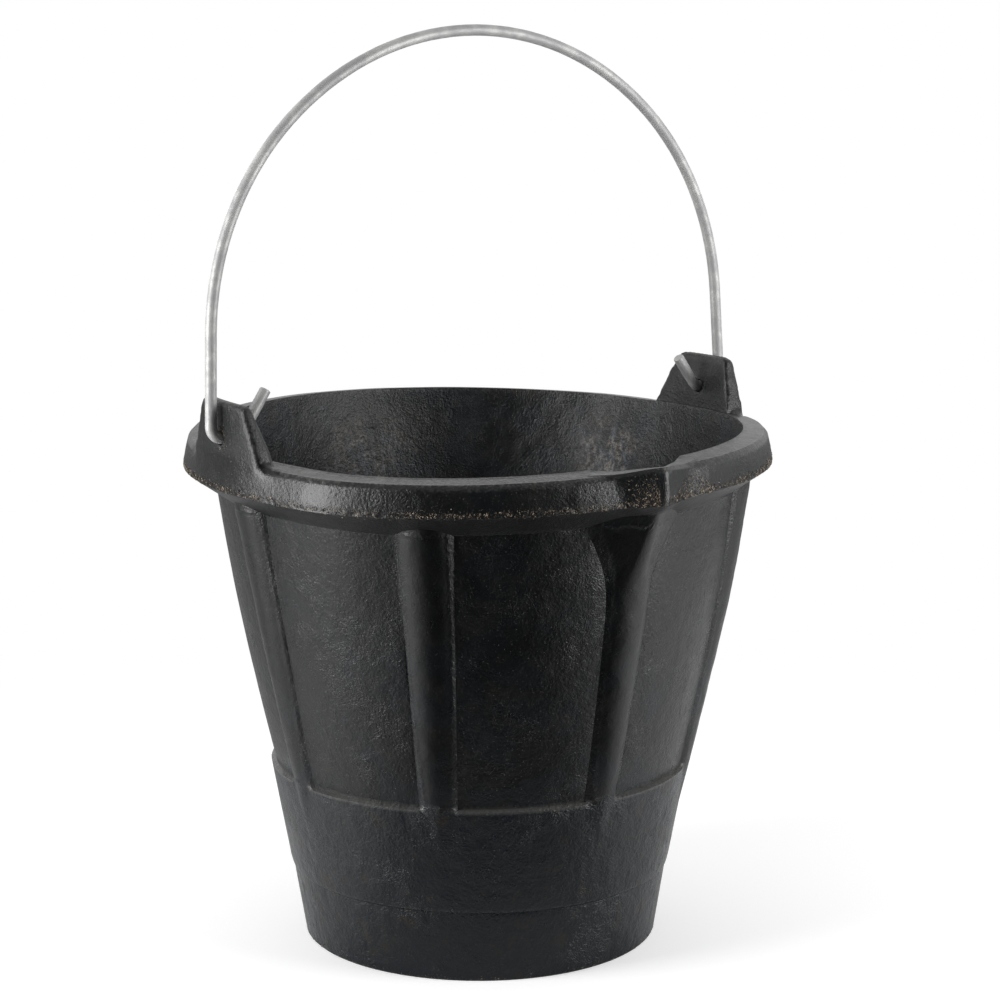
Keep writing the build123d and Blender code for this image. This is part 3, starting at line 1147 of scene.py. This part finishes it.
def painted_floor_light(board, far):
    """Painted floor light for the bucket: 0 in the shaded wedge, 1 where the lights reach it fully."""
    turn = board.math("ARCTAN2", floor_reach(board, WEDGE_TURN + 90), floor_reach(board, WEDGE_TURN))
    # Painted shade in a wedge towards the camera and behind on the left, and a painted pool of light by the
    # foot
    wedge = board.span(board.math("ABSOLUTE", turn), *WEDGE_EDGES)
    dim = board.span(floor_reach(board, DIM_TURN), *DIM_REACH, 1.0, DIM_PAINTED_SHADE)
    foot = board.span(far, *FOOT_REACH, FOOT_PAINTED_GLOW, 0.0)
    return board.math("MAXIMUM", board.times(wedge, dim), foot)


def floor_material(stage):
    """A floor that is pale to the camera and keeps its shadow, with painted shade and light for the bucket.
    """
    board = material_board("pale_floor")
    seen = board.add("ShaderNodeLightPath").outputs["Is Camera Ray"]
    far = board.add("ShaderNodeVectorMath", {0: board.place}, operation="LENGTH").outputs["Value"]
    pale = board.math("MAXIMUM", seen, painted_floor_light(board, far))
    colour = board.blend(pale, FLOOR_PAINTED_SHADE, stage.floor)
    paint = board.add("ShaderNodeBsdfDiffuse", {"Color": colour})
    lift = board.add("ShaderNodeEmission", {"Strength": board.times(seen, stage.floor_glow)})
    both = board.add("ShaderNodeAddShader", {0: paint.outputs["BSDF"], 1: lift.outputs["Emission"]})
    white = board.add("ShaderNodeEmission")
    fade = board.times(seen, board.span(far, *FLOOR_FADE))
    inputs = {0: fade, 1: both.outputs["Shader"], 2: white.outputs["Emission"]}
    ends = board.add("ShaderNodeMixShader", inputs)
    board.feed(board.tree.nodes["Material Output"].inputs["Surface"], ends.outputs["Shader"])
    board.tree.nodes.remove(board.shader)
    return board.holder


def lay_floor(stage):
    """A wide flat floor under the bucket."""
    signs = ((-1, -1), (1, -1), (1, 1), (-1, 1))
    corners = [(x * FLOOR_HALF, y * FLOOR_HALF, 0) for x, y in signs]
    obj = new_piece("floor", corners, ((0, 1, 2, 3),), floor_material(stage))


def soft_light(name, angle, width, radiance):
    """A tall soft light beside the bucket, turned from the camera's side by an angle in degrees."""
    data = bpy.data.lights.new(name, "AREA")
    data.shape = "RECTANGLE"
    data.size = width
    data.size_y = LIGHT_HEIGHT
    data.energy = radiance * math.pi * width * LIGHT_HEIGHT
    obj = bpy.data.objects.new(name, data)
    obj.location = turned_from_camera(angle) * LIGHT_DISTANCE + Vector((0, 0, LIGHT_LEVEL))
    aim = Vector((0, 0, LIGHT_AIM)) - obj.location
    obj.rotation_euler = aim.to_track_quat("-Z", "Y").to_euler()
    obj.visible_camera = False
    bpy.context.scene.collection.objects.link(obj)


def room_colour(board):
    """The room as the bucket sees it: pale behind and dark on the camera's side."""
    inputs = {0: board.direction, 1: turned_from_camera(0)}
    facing = board.add("ShaderNodeVectorMath", inputs, operation="DOT_PRODUCT").outputs["Value"]
    share = board.add("ShaderNodeMapRange", {"Value": facing, "From Min": -1.0, "From Max": 1.0})
    ramp = board.add("ShaderNodeValToRGB", {"Fac": share.outputs["Result"]})
    ramp.color_ramp.interpolation = "EASE"
    while len(ramp.color_ramp.elements) < len(ROOM_LEVELS):
        ramp.color_ramp.elements.new(0.5)
    for element, (position, level) in zip(ramp.color_ramp.elements, ROOM_LEVELS):
        element.position = position
        element.color = (level, level, level, 1)
    return ramp.outputs["Color"]


def studio_world():
    """White to the camera, and the room to all else."""
    world = bpy.data.worlds.new("studio")
    bpy.context.scene.world = world
    board = Board(world)
    seen = board.add("ShaderNodeLightPath").outputs["Is Camera Ray"]
    colour = board.blend(seen, room_colour(board), (1, 1, 1))
    board.feed(board.tree.nodes["Background"].inputs["Color"], colour)


def place_camera():
    """The camera at the photograph's viewpoint."""
    data = bpy.data.cameras.new("camera")
    data.sensor_width = SENSOR_WIDTH
    data.lens = CAMERA_LENS
    data.clip_end = CLIP_END
    obj = bpy.data.objects.new("camera", data)
    obj.location = CAMERA_PLACE
    obj.rotation_euler = (math.radians(90 - CAMERA_PITCH), 0, math.radians(-CAMERA_HEADING))
    bpy.context.scene.collection.objects.link(obj)
    bpy.context.scene.camera = obj


# Steps and panel


class BUCKET_OT_mould(bpy.types.Operator):
    """Mould the rubber bucket"""

    bl_idname = "bucket.mould"
    bl_label = "Rubber bucket"

    def execute(self, context):
        mould_bucket(context.scene.bucket_rubber)
        return {"FINISHED"}


class BUCKET_OT_crumbs(bpy.types.Operator):
    """Scatter rubber crumbs along the flash"""

    bl_idname = "bucket.crumbs"
    bl_label = "Flash crumbs"

    def execute(self, context):
        scatter_crumbs(bpy.data.objects["moulded_bucket"], context.scene.bucket_crumb)
        return {"FINISHED"}


class BUCKET_OT_fibres(bpy.types.Operator):
    """Press short fibres into the skin"""

    bl_idname = "bucket.fibres"
    bl_label = "Pressed fibres"

    def execute(self, context):
        lay_fibres(bpy.data.objects["moulded_bucket"], context.scene.bucket_fibre)
        return {"FINISHED"}


class BUCKET_OT_bail(bpy.types.Operator):
    """Finish the wire bail"""

    bl_idname = "bucket.bail"
    bl_label = "Wire bail"

    def execute(self, context):
        finish_bail(context.scene.bucket_wire)
        return {"FINISHED"}


class BUCKET_OT_stage(bpy.types.Operator):
    """Lay the floor, light it and place the camera"""

    bl_idname = "bucket.stage"
    bl_label = "Stage"

    def execute(self, context):
        stage = context.scene.bucket_stage
        lay_floor(stage)
        studio_world()
        soft_light("soft_left", *LEFT_LIGHT, stage.left_light)
        soft_light("soft_right", *RIGHT_LIGHT, stage.right_light)
        place_camera()
        context.scene.view_settings.view_transform = "Standard"
        return {"FINISHED"}


STEPS = (BUCKET_OT_mould, BUCKET_OT_crumbs, BUCKET_OT_fibres, BUCKET_OT_bail, BUCKET_OT_stage)
SETTINGS = {
    "bucket_rubber": RubberSettings,
    "bucket_crumb": CrumbSettings,
    "bucket_fibre": FibreSettings,
    "bucket_wire": WireSettings,
    "bucket_stage": StageSettings,
}


class BUCKET_PT_maker(bpy.types.Panel):
    """Lists the steps and their settings"""

    bl_idname = "BUCKET_PT_maker"
    bl_label = "Rubber Bucket"
    bl_space_type = "VIEW_3D"
    bl_region_type = "UI"
    bl_category = "Bucket"

    def draw(self, context):
        for step, name in zip(STEPS, SETTINGS):
            box = self.layout.box()
            box.operator(step.bl_idname)
            group = getattr(context.scene, name)
            for key in group.__annotations__:
                box.prop(group, key)


CLASSES = (*SETTINGS.values(), *STEPS, BUCKET_PT_maker)


def register():
    """Makes the settings, steps and panel known."""
    for kind in CLASSES:
        bpy.utils.register_class(kind)
    for name, kind in SETTINGS.items():
        setattr(bpy.types.Scene, name, PointerProperty(type=kind))


def unregister():
    """Takes them away again."""
    for name in SETTINGS:
        delattr(bpy.types.Scene, name)
    for kind in reversed(CLASSES):
        bpy.utils.unregister_class(kind)


def main():
    """Builds the dressed bucket on its stage."""
    register()
    bpy.ops.bucket.mould()
    bpy.ops.bucket.crumbs()
    bpy.ops.bucket.fibres()
    bpy.ops.bucket.bail()
    bpy.ops.bucket.stage()


if __name__ == "__main__":
    main()
